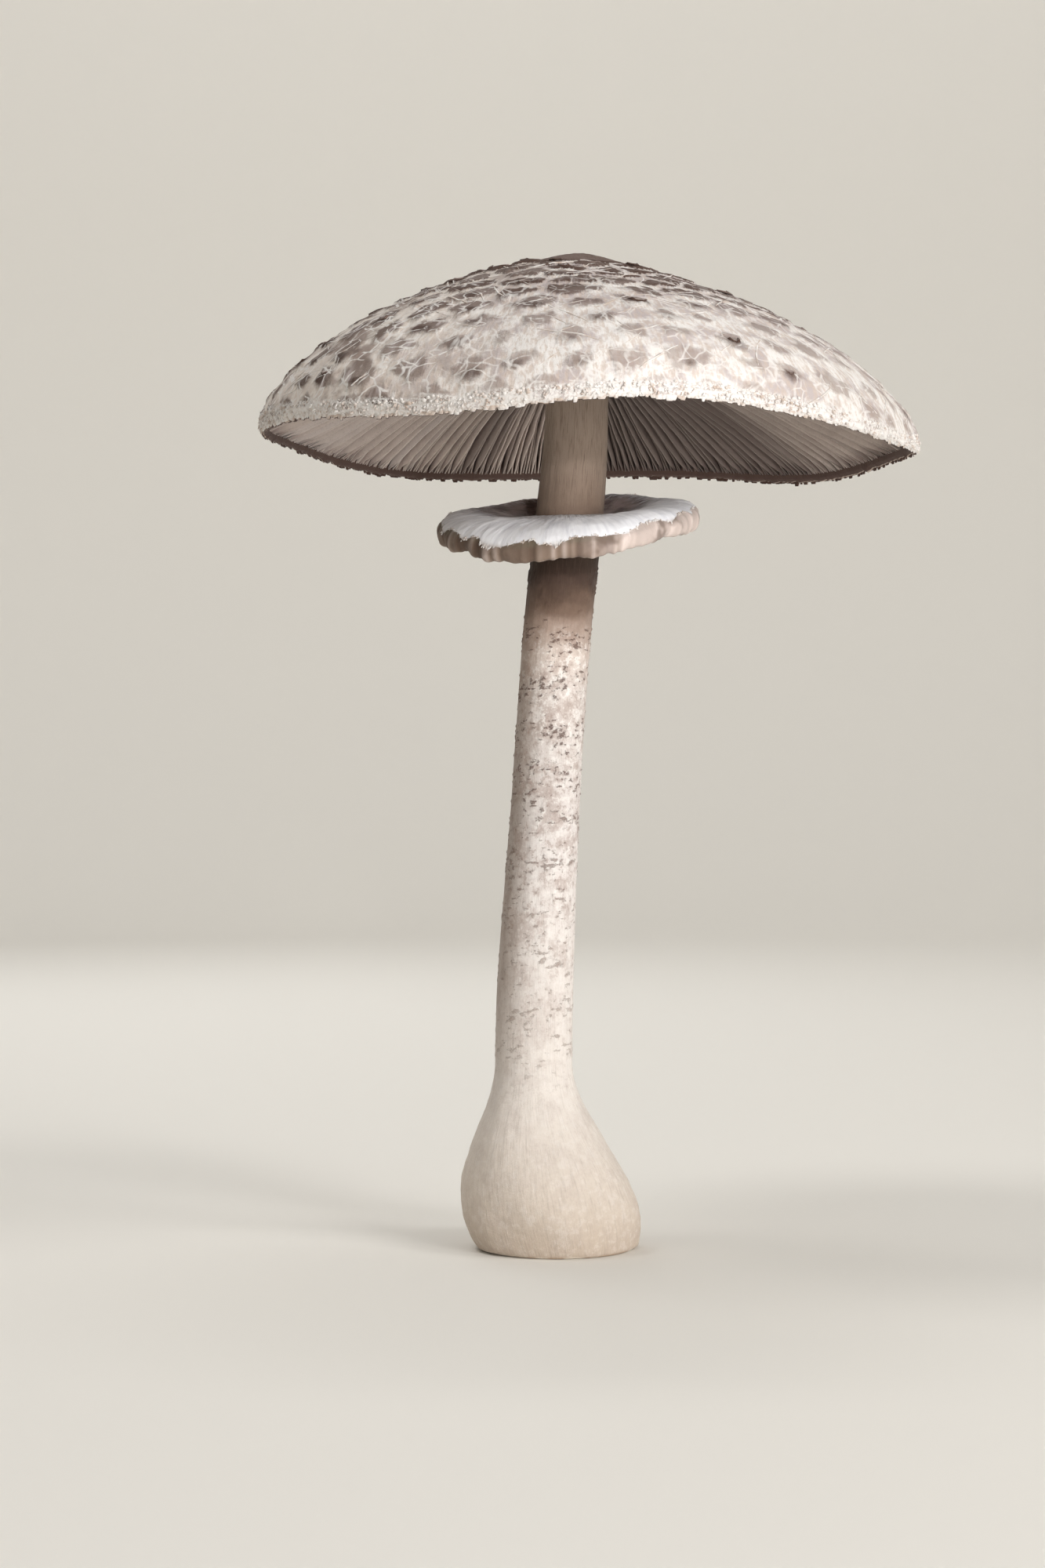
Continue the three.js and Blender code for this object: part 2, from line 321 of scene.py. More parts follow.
def newMaterial(name, roughness, sheen=0.0):
    material = bpy.data.materials.new(name)
    material.use_nodes = True
    w = Wiring(material.node_tree, material)
    for key, value in (("Roughness", roughness), ("Specular IOR Level", 0.25), ("Sheen Weight", sheen)):
        w.shader.inputs[key].default_value = value
    return w


def finishMaterial(w, color, height, strength, distance):
    w.feed(w.shader.inputs["Base Color"], color)
    made = w.node("ShaderNodeBump", Strength=strength, Distance=distance, Height=height)
    w.feed(w.shader.inputs["Normal"], made.outputs["Normal"])
    return w.material


# The cap's form, which its skin, scales, threads and gills all follow.

capForm = {
    "radius": 100,
    "rimHeight": 244,
    "height": 54.6,
    "crown": 1.38,
    "shoulder": 0.55,
    "umbo": 2.2,
    "umboRadius": 15,
    "leftDrop": 1.35,
    "leftShoulder": 0.62,
    "apexX": 6.1,
    "rimX": 9.1,
    "fleshRadius": 97.2,
    "fleshHeight": 43.8,
    "fleshCrown": 1.7,
    "socketRadius": 10.2,
    "socketDepth": 5,
    "tilt": 4.4,
    "shrink": 0.012,
    "arch": [(1, 1, 0), (0.5, 2, 2.64), (1.2, 3, -3.07)],
    "wave": [(1.3, 4, -0.27), (0.9, 5, -0.3), (0.3, 7, -1.2)],
    "lobes": [(0.008, 3, 0.6), (0.004, 8, 0)],
}


def domeHeight(share, height, crown, shoulder=None):
    return height * max(1 - share**crown, 0) ** (shoulder or capForm["shoulder"])


def skinHeight(r):
    top = domeHeight(r / capForm["radius"], capForm["height"], capForm["crown"])
    return top + capForm["umbo"] * exp(-((r / capForm["umboRadius"]) ** 2))


def fleshHeight(r):
    return domeHeight(r / capForm["fleshRadius"], capForm["fleshHeight"], capForm["fleshCrown"])


def bendCap(point):
    # the cap leans to +X, its -X shoulder is lower, and its rim waves, with an arch on the front
    r, a = readTurn(point)
    s = r / capForm["radius"]
    tilt = -capForm["tilt"] * s * cos(a)
    full = domeHeight(s, capForm["height"], capForm["crown"])
    low = domeHeight(s, capForm["height"], capForm["crown"], capForm["leftShoulder"])
    slump = capForm["leftDrop"] * (0.5 - 0.5 * cos(a)) * (full - low)
    waves = ripple(a, capForm["arch"]) + ripple(a, capForm["wave"])
    spread = 1 + s * (ripple(a, capForm["lobes"]) - capForm["shrink"])
    lean = mix(capForm["apexX"], capForm["rimX"], s * s)
    rise = capForm["rimHeight"] + tilt - slump + waves * s**4
    return Vector((point.x * spread + lean, point.y * spread, point.z + rise))


skinRows = 118
skinLine, skinLength = resample(
    [(r, skinHeight(r)) for r in (99.95 * (1 - (1 - k / 600) ** 2.2) for k in range(601))], skinRows
)


def skinPoint(arc, angle):
    place = min(max(arc / skinLength, 0), 1) * (skinRows - 1)
    i = min(int(place), skinRows - 2)
    r = mix(skinLine[i][0], skinLine[i + 1][0], place - i)
    return bendCap(spun(r, angle, skinHeight(r)))


def skinFrame(arc, angle):
    # a place on the smooth skin, with its sideways, outward and upward directions
    here = skinPoint(arc, angle)
    inner = min(arc, skinLength - 1)
    outward = (skinPoint(inner + 0.8, angle) - skinPoint(inner - 0.8, angle)).normalized()
    sideways = (skinPoint(arc, angle + 0.01) - skinPoint(arc, angle - 0.01)).normalized()
    return here, sideways, outward, outward.cross(sideways)


# Cells of torn skin: one list sets the relief, the colours and the lifted flakes.

skinCells = {
    "seed": 5,
    "firstArc": 23,
    "rowGap": (8.2, 10.4),  # near the crown, near the rim
    "width": (12.5, 16),
    "jitter": 0.27,
    "crownArc": 18,
    "patchLift": (0.15, 0.7),  # at a patch's upper side, at its tip
    "spotShare": (0.55, 0.85),  # on the sunny side, on the shaded side
    "spotSize": 2.7,
}


def shadedSide(angle):
    return smooth(0.1, 0.85, -cos(angle))


def scatterCells():
    draw = random.Random(skinCells["seed"])
    made = []
    arc = skinCells["firstArc"]
    row = 0
    while arc < skinLength + 12:  # the last rows lie past the rim and only bound the ones before
        t = smooth(25, 80, arc)
        gap = mix(*skinCells["rowGap"], t)
        count = round(2 * pi * arc * mix(1, 0.87, arc / skinLength) / mix(*skinCells["width"], t))
        for i in range(count):
            turn = i + 0.5 * (row % 2) + draw.uniform(-1, 1) * skinCells["jitter"]
            angle = 2 * pi * turn / count
            cellArc = arc + draw.uniform(-1, 1) * skinCells["jitter"] * gap
            spotted = draw.random() < mix(*skinCells["spotShare"], shadedSide(angle))
            made.append(
                {
                    "arc": cellArc,
                    "angle": angle,
                    "tone": draw.random(),
                    "size": draw.random(),
                    "spot": draw.uniform(0.55, 1) if spotted else draw.uniform(0, 0.25),
                    "tip": spun(cellArc + 0.24 * gap, angle),
                }
            )
        arc += gap
        row += 1
    return made


cells = scatterCells()
cellTree = kdtree.KDTree(len(cells))
for number, cell in enumerate(cells):
    cellTree.insert(spun(cell["arc"], cell["angle"]), number)
cellTree.balance()
print(len(cells), "cells of torn skin")


def readSkin(arc, angle):
    # the skin's rise, how far inside a patch the place is, the dark spot at the patch's tip, its tone
    flat = spun(arc, angle)
    wobble = Vector((noise.noise(flat / 4.2), noise.noise(flat / 4.2 + Vector((0, 0, 9))), 0)) * 2.4
    wobble += Vector((noise.noise(flat / 1.5), noise.noise(flat / 1.5 + Vector((0, 0, 5))), 0)) * 0.8
    nearest, second = cellTree.find_n(flat + wobble, 2)
    cell = cells[nearest[1]]
    crownArc = skinCells["crownArc"] + 3 * smooth(0, 1, -sin(angle))
    crownArc += 2 * turnNoise(angle, 1.6)
    crownArc += 1.4 * turnNoise(angle, 5)
    # cracks widen to the rim and on the sunny +X side
    shaded = shadedSide(angle)
    crack = mix(0.6, 0.8, smooth(20, 55, arc)) + mix(1.3, 0.6, shaded) * smooth(60, 105, arc)
    crack += mix(0.8, 1.6, smooth(50, 70, arc)) * (cell["size"] - 0.45) * smooth(24, 50, arc)
    inside = 0.5 * (second[2] - nearest[2]) - crack
    patch = max(inside, crownArc - arc)
    late = arc / skinLength
    toTip = flat + 0.6 * wobble - cell["tip"]
    along = toTip.dot(flat) / max(arc, 1)
    across = sqrt(max(toTip.length_squared - along * along, 0))
    spotSize = skinCells["spotSize"] * mix(0.8, 1.2, cell["size"])
    fall = -((across / (1.7 * spotSize)) ** 2) - (along / spotSize) ** 2
    spot = cell["spot"] * mix(1, 1.35, shaded) * exp(fall)
    tone = cell["tone"]
    if arc < crownArc:
        spot, tone = 0, 0.4
    tip = smooth(-2.5, 4.2, arc - cell["arc"])
    lift = smooth(-0.2, 0.9, patch) * mix(*skinCells["patchLift"], tip) * smooth(8, 24, arc)
    lift *= 1 - 0.5 * late**2
    lift += 0.6 * noise.noise(flat / 22) + 0.3 * noise.noise(flat / 7) + 0.3 * spot
    lift += 0.16 * turnNoise(angle, 42, arc / 8) * smooth(24, 60, arc)
    lift += (0.1 + 0.2 * smooth(0.8, 1, late)) * noise.noise(flat / 1.7)
    return lift * (1 - 0.4 * smooth(0.97, 1, late)), patch, spot, tone


# Cap: flesh, torn skin and ragged rim in one body.

capSkin = {
    "sectors": 640,
    "rimTeeth": 1.0,
    "socketGap": 1,
    "paleFrom": 98.8,  # the rim is pale outside this radius
    "fleshTo": 94,  # and the flesh under the cap has its own colour inside this one
    "threads": (26.0, 9.0),  # how fine round the cap, how fine along it
    "felt": (95.0, 1300.0),  # clouds and grains in a metre
    "bump": (0.7, 0.0007),  # strength, depth in metres
}


def capOutline():
    rim = [(100, 0.5), (99.9, -0.4), (99.3, -0.9), (98.3, -0.7), (97.6, -0.2)]
    radii = [capForm["fleshRadius"] * (1 - (k / 16) ** 1.6) for k in range(16)]
    under = [(r, fleshHeight(r)) for r in radii if r > capForm["socketRadius"] + capSkin["socketGap"]]
    seat = fleshHeight(capForm["socketRadius"])
    roof = seat + capForm["socketDepth"]
    socket = [(capForm["socketRadius"], seat), (capForm["socketRadius"], roof), (0, roof)]
    marks = [skinLength * i / (skinRows - 1) for i in range(skinRows)]
    marks += [1000] * len(rim) + [2000] * (len(under) + len(socket))
    return skinLine + rim + under + socket, marks


def makeCap(material):
    outline, marks = capOutline()
    bm, markLayer = spinOutline(outline, capSkin["sectors"], marks=marks)
    layers = newLayers(bm, "patch", "spot", "tone", "zone", "shaded")
    polar = bm.verts.layers.float_vector.new("polar")
    for vert in bm.verts:
        mark = vert[markLayer]
        r, angle = readTurn(vert.co)
        place = vert.co.copy()
        if mark < 999:
            lift, patch, spot, tone = readSkin(mark, angle)
            place += vert.normal * lift
            values = (max(min(patch / 2, 1), -1), spot, tone, mark / skinLength)
        elif mark < 1999:
            fray = max(turnNoise(angle, 34), 0) + 0.6 * abs(turnNoise(angle, 95, 2))
            place.z -= capSkin["rimTeeth"] * fray
            place += vert.normal * 0.35 * noise.noise(place / 1.4)
            values = (-1, 0, 0.5, 1 if r > capSkin["paleFrom"] else 3)
        else:
            values = (-1, 0, 0.5, 2 if r < capSkin["fleshTo"] else 3)
        for layer, value in zip(layers, values + (shadedSide(angle),)):
            vert[layer] = value
        vert[polar] = spun(1, angle, min(mark, 130) / 100)
        vert.co = bendCap(place)
    finishPiece(bm, "capSkin", material, "mushroom", "cap")


capColors = {
    "white": srgb(226, 222, 219),
    "cream": srgb(194, 177, 165),
    "grey": srgb(156, 142, 135),
    "mist": srgb(184, 173, 172),
    "shadedGround": srgb(226, 215, 204),
    "shadedPatch": srgb(92, 72, 61),
    # the brown of the painted shade clouds on the cap's shaded side
    "shadeWash": srgb(128, 109, 100),
    "tip": srgb(76, 55, 46),
    "crown": srgb(110, 88, 78),
    "crownDark": srgb(74, 54, 46),
    "brown": srgb(85, 63, 53),
    "lilac": srgb(138, 122, 116),
    "pale": srgb(158, 142, 134),
    "flesh": srgb(190, 172, 160),
    "rimInside": srgb(84, 66, 60),
}


def makeCapMaterial():
    w = newMaterial("cap torn skin", 0.85, 0.05)
    names = ("patch", "spot", "tone", "zone", "shaded")
    patch, spot, tone, zone, shaded = (w.attribute(name) for name in names)
    coarse, fine = w.threads(w.attribute("polar", "Vector"), *capSkin["threads"])
    clouds, grains, height = w.felt(*capSkin["felt"])

    # between the patches: white threads over cream flesh, with soft lilac mist
    ground = w.blend(w.step(clouds, 0.56, 0.4), capColors["white"], capColors["mist"])
    ground = w.over(ground, capColors["cream"], w.step(fine, 0.56, 0.4), 0.65)
    # painted shade: on the shaded -X side the ground is painted greyer and browner, broken into brown clouds
    ground = w.over(ground, capColors["shadedGround"], shaded, 0.5)
    shadeWash = w.step(w.noise(w.objectPlace(), 62.0, 5.0, 0.62), 0.48, 0.62)
    ground = w.over(ground, capColors["shadeWash"], shadeWash, w.times(shaded, 0.85))
    # the patches: dark and close by the crown, lilac grey further out, each with a dark tip
    stops = {0.0: "crown", 0.15: "crown", 0.2: "brown", 0.52: "brown", 0.68: "lilac", 0.95: "pale"}
    root = w.ramp(w.plus(zone, w.around(clouds, 0.25)), named(capColors, stops))
    root = w.over(root, capColors["shadedPatch"], w.step(zone, 0.45, 0.7), w.times(shaded, 0.8))
    root = w.over(root, capColors["grey"], w.step(tone, 0.5, 1.0), 0.35)
    dark = w.step(w.plus(spot, w.around(grains, 0.4)), 0.15, 0.95)
    skin = w.over(root, capColors["tip"], dark, 0.9)
    skin = w.over(skin, capColors["crownDark"], w.step(grains, 0.46, 0.7), w.step(zone, 0.7, 0.2))
    skin = w.over(skin, capColors["mist"], w.step(coarse, 0.54, 0.72), w.step(zone, 0.35, 0.7))
    ragged = w.plus(patch, w.plus(w.around(fine, 0.9), w.around(grains, 0.7)))
    soft = w.rising(shaded, 0.3, 0.75)
    mask = w.step(ragged, -0.1, w.rising(w.step(zone, 0.35, 0.75), soft, 0.12))
    strength = w.rising(w.step(zone, 1.0, 0.45), 0.3, w.rising(shaded, 0.25, 0.7))
    color = w.over(ground, skin, mask, strength)
    color = w.over(color, capColors["tip"], dark, w.rising(shaded, 0.35, 0.6))
    # white strands that cross the patches
    shift = w.node("ShaderNodeTexNoise", Vector=w.objectPlace(), Scale=110.0, Detail=2.0).outputs["Color"]
    bent = w.vector("ADD", w.objectPlace(), w.vector("MULTIPLY", shift, (0.005, 0.005, 0.005)))
    for scale, width in ((75.0, 0.035), (150.0, 0.05)):
        web = w.node("ShaderNodeTexVoronoi", {"feature": "DISTANCE_TO_EDGE"}, Vector=bent, Scale=scale)
        strand = w.times(w.step(web.outputs["Distance"], width, width * 0.3), w.step(coarse, 0.4, 0.56))
        strand = w.times(strand, w.step(zone, 0.3, 0.6))
        color = w.over(color, capColors["white"], strand, w.rising(shaded, 0.4, 0.58))
    # pale wool near the rim, then the flesh under the cap, and dark brown inside the rim, partly the rim's
    # own brown and partly a painted shade under it
    color = w.over(color, capColors["white"], w.step(zone, 0.972, 0.992), w.step(grains, 0.62, 0.42))
    color = w.blend(w.step(zone, 1.3, 1.5), color, capColors["flesh"])
    color = w.blend(w.step(zone, 2.3, 2.7), color, capColors["rimInside"])
    relief = w.plus(w.times(fine, 0.6), w.times(height, 0.7))
    relief = w.plus(relief, w.times(mask, 0.35))
    return finishMaterial(w, color, relief, *capSkin["bump"])


makeCap(makeCapMaterial())


# Lifted flakes at the patches' tips.

capFlakes = {
    "seed": 11,
    "leastSpot": (0.74, 0.93),  # only patches with a strong dark tip have a lifted flake, fewer near the rim
    "width": (3.6, 7.0),
    "length": (2.8, 4.4),
    "lift": (0.1, 0.45),
    "thickness": 0.35,
    "rimMargin": 5,
    "felt": (260.0, 1800.0),
    "bump": (0.7, 0.0005),
}


def makeFlakes(material):
    draw = random.Random(capFlakes["seed"])
    bm = bmesh.new()
    tipLayer, toneLayer = newLayers(bm, "tip", "tone")
    count = 0
    for cell in cells:
        late = cell["arc"] / skinLength
        leastSpot = mix(*capFlakes["leastSpot"], smooth(0.35, 0.6, late))
        if cell["arc"] > skinLength - capFlakes["rimMargin"] or cell["spot"] < leastSpot:
            continue
        size = mix(1, 0.62, smooth(0.35, 1, late)) * mix(0.75, 1.1, cell["size"])
        width = draw.uniform(*capFlakes["width"]) * size
        length = draw.uniform(*capFlakes["length"]) * size
        lift = draw.uniform(*capFlakes["lift"]) * size
        rootArc = cell["arc"] + draw.uniform(0, 0.8) * size
        turn = draw.uniform(-0.18, 0.18)
        phase = draw.uniform(0, 99)
        baseLift = readSkin(rootArc, cell["angle"])[0]

        def place(u, v, vert):
            side = (0.5 - u) * width * (1 - 0.45 * v**2) + turn * length * v
            ragged = 1.3 * noise.noise(Vector((u * width / 1.6, phase, 0)))
            ragged += 0.5 * noise.noise(Vector((u * width / 0.6, phase, 5)))
            arc = rootArc + length * v * (1 - 0.55 * abs(2 * u - 1) ** 2) + ragged * v * size
            here, sideways, outward, up = skinFrame(min(arc, skinLength), cell["angle"])
            curl = lift * v**1.8 * (1 - 0.35 * abs(2 * u - 1)) - 0.25 * (1 - v)
            vert[tipLayer] = v
            vert[toneLayer] = cell["tone"]
            return here + sideways * side + up * (baseLift + 0.35 + curl) - outward * 0.4 * lift * v**3

        addCard(bm, 5, 3, place)
        count += 1
    bmesh.ops.solidify(bm, geom=bm.faces[:], thickness=capFlakes["thickness"])
    print(count, "flakes")
    finishPiece(bm, "capFlakes", material, "mushroom")


def makeFlakeMaterial():
    w = newMaterial("cap flakes", 0.8, 0.1)
    tip, tone = w.attribute("tip"), w.attribute("tone")
    clouds, grains, height = w.felt(*capFlakes["felt"])
    stops = {0.1: "pale", 0.4: "lilac", 0.7: "brown", 0.95: "tip"}
    color = w.ramp(w.plus(tip, w.around(clouds, 0.9)), named(capColors, stops))
    color = w.over(color, capColors["lilac"], w.step(tone, 0.4, 1.0), 0.6)
    color = w.over(color, capColors["cream"], w.step(grains, 0.52, 0.72), 0.35)
    return finishMaterial(w, color, height, *capFlakes["bump"])


makeFlakes(makeFlakeMaterial())


# White threads that lie over the patches.

capThreads = {
    "seed": 17,
    "count": 240,
    "firstArc": 34,
    "length": (8, 26),
    "width": (0.35, 0.8),
    "thickness": 0.24,
    "felt": (300.0, 2200.0),
    "bump": (0.5, 0.0003),
}


def makeThreads(material):
    draw = random.Random(capThreads["seed"])
    bm = bmesh.new()
    for _ in range(capThreads["count"]):
        startArc = mix(capThreads["firstArc"], skinLength - 3, draw.random())
        startAngle = draw.uniform(0, 2 * pi)
        heading = draw.choice((-1, 1)) * draw.gauss(1.0, 0.25)
        length = draw.uniform(*capThreads["length"])
        width = draw.uniform(*capThreads["width"])
        bendShare = draw.uniform(-0.5, 0.5)

        def place(turn, v):
            swell = sin(pi * v)
            run = length * (v - 0.5)
            across = 0.5 * width * swell * cos(turn)
            drift = run * sin(heading) + bendShare * length * (v - 0.5) ** 2
            drift += across * cos(heading)
            arc = startArc + run * cos(heading) - across * sin(heading)
            arc = min(max(arc, 1), skinLength - 0.2)
            angle = startAngle + drift / max(arc * 0.9, 12)
            here, _, _, up = skinFrame(arc, angle)
            rise = 0.5 * capThreads["thickness"] * swell * sin(turn)
            return here + up * (readSkin(arc, angle)[0] + rise)

        addSpindle(bm, 4, 8, place)
    bmesh.ops.remove_doubles(bm, verts=bm.verts, dist=1e-5)
    finishPiece(bm, "capThreads", material, "mushroom")


def makeWoolMaterial():
    w = newMaterial("white wool", 0.9, 0.2)
    clouds, _, height = w.felt(*capThreads["felt"])
    color = w.blend(w.step(clouds, 0.35, 0.6), capColors["cream"], capColors["white"])
    return finishMaterial(w, color, height, *capThreads["bump"])


woolMaterial = makeWoolMaterial()
makeThreads(woolMaterial)


# Ragged fringe and wool along the rim, white outside and dark brown inside, partly the fringe's own brown
# and partly a painted shade under the rim.

rimWool = {
    "seed": 23,
    "tufts": 1300,
    "length": (0.5, 1.4),
    "thickness": (0.25, 0.55),
    "stray": 0.5,
    "outwards": (0.2, 0.8),
    "down": (0.2, 1),
    "bandRadius": (99.3, 100.0),
    "bandHeight": (-0.6, 1.4),
    "crumbs": 700,
    "crumbRadius": (0.2, 0.6),
    "crumbSpread": 1.1,
    "teeth": 480,
    "toothRadius": 99.0,
    "toothWidth": (1.2, 3.4),
    "toothDrop": (0.1, 1.1),
    "toothThickness": 0.5,
    "felt": (300.0, 2000.0),
    "bump": (0.5, 0.0004),
}


def makeRimWool(material):
    draw = random.Random(rimWool["seed"])
    bm = bmesh.new()

    def rootAt(angle, out):
        radius = draw.uniform(*rimWool["bandRadius"])
        return bendCap(out * radius + Vector((0, 0, draw.uniform(*rimWool["bandHeight"]))))

    addWool(bm, draw, rimWool, rootAt)
    for _ in range(rimWool["crumbs"]):
        angle = draw.uniform(0, 2 * pi)
        arc = skinLength - abs(draw.gauss(0, rimWool["crumbSpread"]))
        here, sideways, outward, up = skinFrame(arc, angle)
        radius = draw.uniform(*rimWool["crumbRadius"])
        center = here + up * (readSkin(arc, angle)[0] + 0.1)
        for vert in bmesh.ops.create_icosphere(bm, subdivisions=1, radius=radius)["verts"]:
            bumpy = vert.co * (1 + 0.35 * noise.noise(vert.co * 1.3 + center))
            vert.co = center + sideways * bumpy.x * 1.3 + outward * bumpy.y + up * bumpy.z * 0.7
    finishPiece(bm, "rimWool", material, "mushroom")


makeRimWool(woolMaterial)


def makeRimTeeth(material):
    draw = random.Random(rimWool["seed"] + 1)
    bm = bmesh.new()
    (insideLayer,) = newLayers(bm, "inside")
    middle = rimWool["toothRadius"]
    for i in range(rimWool["teeth"]):
        angle = 2 * pi * (i + draw.uniform(-0.35, 0.35)) / rimWool["teeth"]
        width = draw.uniform(*rimWool["toothWidth"])
        drop = draw.uniform(*rimWool["toothDrop"]) + 0.9 * max(turnNoise(angle, 12), 0)
        slant = draw.uniform(-0.5, 0.5)

        def place(u, v, vert):
            turn = angle + ((u - 0.5) * width * (1 - 0.5 * v * v) + slant * v) / middle
            return spun(middle, turn, mix(0.6, -0.8 - drop, v))

        addCard(bm, 2, 2, place)
    bmesh.ops.solidify(bm, geom=bm.faces[:], thickness=rimWool["toothThickness"])
    radii = [readTurn(vert.co)[0] for vert in bm.verts]
    between = 0.5 * (min(radii) + max(radii))
    for vert, r in zip(bm.verts, radii):
        vert[insideLayer] = 1 if r < between else 0
        vert.co = bendCap(vert.co)
    finishPiece(bm, "rimTeeth", material, "mushroom")


def makeTeethMaterial():
    w = newMaterial("rim fringe", 0.88, 0.1)
    clouds, _, height = w.felt(*rimWool["felt"])
    outside = w.blend(w.step(clouds, 0.35, 0.6), capColors["cream"], capColors["white"])
    # the fringe's inner face is dark brown, partly its own brown and partly a painted shade under the rim
    inside = w.blend(w.step(clouds, 0.35, 0.65), capColors["rimInside"], capColors["tip"])
    color = w.blend(w.step(w.attribute("inside"), 0.35, 0.65), outside, inside)
    return finishMaterial(w, color, height, *rimWool["bump"])


makeRimTeeth(makeTeethMaterial())


# Gills: thin blades of three lengths, free of the stem.

gillForm = {
    "seed": 31,
    "full": 148,
    "thickness": 0.42,
    "innerRadius": 13.5,
    "outerRadius": 95.4,
    "reach": 97.6,  # the blades' outer ends run into the rim
    "depth": 15.5,
    "endDepth": 5,
    "bulge": 3.5,
    "starts": (13.5, 46, 68),  # full, half and short blades
    "shares": (1, 0.9, 0.75),
    "stray": (-5, 5),  # how far a shorter blade starts from its place
    "columns": (12, 7, 7),
    "collarWidth": 2.6,
    "collarSectors": 180,
    "felt": (180.0, 1600.0),
    "bump": (0.4, 0.0004),
}


def gillDepth(r):
    # the gills' lower edges run out to the rim in a slow curve
    u = (r - gillForm["innerRadius"]) / (gillForm["outerRadius"] - gillForm["innerRadius"])
    start = fleshHeight(gillForm["innerRadius"]) - gillForm["depth"]
    end = fleshHeight(gillForm["outerRadius"]) - gillForm["endDepth"]
    return fleshHeight(r) - mix(start, end, u) - gillForm["bulge"] * sin(pi * min(u, 1))


def makeGills(material):
    draw = random.Random(gillForm["seed"])
    bm = bmesh.new()
    edgeLayer, toneLayer = newLayers(bm, "edge", "tone")
    slots = gillForm["full"] * 4
    for i in range(slots):
        kind = 0 if i % 4 == 0 else 1 if i % 4 == 2 else 2
        start, share = gillForm["starts"][kind], gillForm["shares"][kind] * draw.uniform(0.93, 1.04)
        if kind:
            start += draw.uniform(*gillForm["stray"])
        angle = 2 * pi * (i + draw.uniform(-0.12, 0.12)) / slots
        tone = 0.42 + 0.5 * turnNoise(angle, 3.5) + 0.25 * turnNoise(angle, 14) + draw.uniform(-0.25, 0.25)
        side = cos(angle)
        # painted shade and light by side: blades just to +X of the stem are painted darker, where the stem's
        # shadow falls, and those on the -X side lighter
        tone += 0.9 * smooth(-0.05, 0.2, side) * smooth(0.98, 0.5, side) - 0.5 * smooth(0.3, 1, -side)
        phase = draw.uniform(0, 99)

        def place(u, v, vert):
            r = mix(start, gillForm["reach"], u)
            opening = smooth(0, 9, r - start) if kind else 1
            low = fleshHeight(r) - gillDepth(r) * share * mix(0.12, 1, opening)
            low += 0.35 * noise.noise(Vector((r / 5, phase, 0)))
            high = fleshHeight(r) + 0.6
            wave = 0.55 * noise.noise(Vector((r / 16, v * 0.8, phase)))
            wave += 0.25 * v * noise.noise(Vector((r / 5, 7, phase)))
            turn = angle + wave / r
            vert[edgeLayer] = v
            vert[toneLayer] = tone
            return bendCap(spun(r, turn, mix(high, low, v)))

        addCard(bm, gillForm["columns"][kind], 2, place)
    bmesh.ops.solidify(bm, geom=bm.faces[:], thickness=gillForm["thickness"])
    finishPiece(bm, "gillBlades", material, "mushroom", "gills")


def makeCollar(material):
    inner = gillForm["innerRadius"] - 1.3
    outer = inner + gillForm["collarWidth"]
    roof, low = fleshHeight(outer) + 0.5, fleshHeight(outer) - gillForm["depth"] * 0.92
    outline = [(inner, roof), (inner, low + 1), (inner + 0.7, low)]
    outline += [(outer - 0.6, low + 0.2), (outer, low + 1.4), (outer, roof)]
    outline = resample(outline + outline[:1], 40)[0][:-1]
    bm = spinOutline(outline, gillForm["collarSectors"], closed=True)[0]
    edgeLayer, toneLayer = newLayers(bm, "edge", "tone")
    for vert in bm.verts:
        angle = readTurn(vert.co)[1]
        vert[edgeLayer] = smooth(roof, low, vert.co.z)
        vert[toneLayer] = 0.5
        lumps = 0.25 * turnNoise(angle, 9, vert.co.z / 6) + 0.15 * turnNoise(angle, 26)
        vert.co = bendCap(vert.co + vert.normal * lumps)
    finishPiece(bm, "gillCollar", material, "mushroom")


gillColors = {
    "root": srgb(112, 96, 93),
    "side": srgb(160, 144, 138),
    "edge": srgb(196, 182, 174),
    "lit": srgb(206, 196, 192),
    "shade": srgb(76, 60, 57),
}


def makeGillMaterial():
    w = newMaterial("gill tissue", 0.7, 0.05)
    edge, tone = w.attribute("edge"), w.attribute("tone")
    clouds, grains, height = w.felt(*gillForm["felt"])
    # the blades are painted darker towards their roots under the flesh, a painted shade in the deep gaps
    # between them, and paler at their free edges
    stops = {0.0: "root", 0.6: "side", 1.0: "edge"}
    color = w.ramp(w.plus(edge, w.around(clouds, 0.5)), named(gillColors, stops))
    # the painted light and painted shade that the blade's tone carries
    color = w.over(color, gillColors["lit"], w.step(tone, 0.15, -0.4), 0.55)
    color = w.over(color, gillColors["shade"], w.step(tone, 0.3, 1.1), 0.75)
    color = w.over(color, gillColors["root"], w.step(grains, 0.5, 0.7), 0.25)
    return finishMaterial(w, color, height, *gillForm["bump"])


gillMaterial = makeGillMaterial()
makeGills(gillMaterial)
makeCollar(gillMaterial)


# Stem: the shaft with its broken bands, and the bulb.

stemForm = {
    "sectors": 168,
    "rows": 400,
    "topZ": 291.4,
    "topRadius": 9.4,
    "middleRadius": 10.3,
    "lowRadius": 11.7,
    "bulbRadius": 26.5,
    "footRadius": 24,
    "bulbZ": 12,
    "neckZ": 56,
    "fleckRise": 0.3,
    "threads": (13.0, 5.0),
    "felt": (140.0, 1700.0),
    "bump": (0.6, 0.0006),
    "line": [
        (0, 0, 0),
        (-2.8, 0.3, 16),
        (-6.5, 0.8, 42),
        (-6.5, 1.2, 76),
        (-3.5, 0.8, 132),
        (0.2, 0.2, 186),
        (4.1, 0, 223),
        (5.9, 0, 246),
        (6.1, 0, 270),
        (6.1, 0, 296),
    ],
}


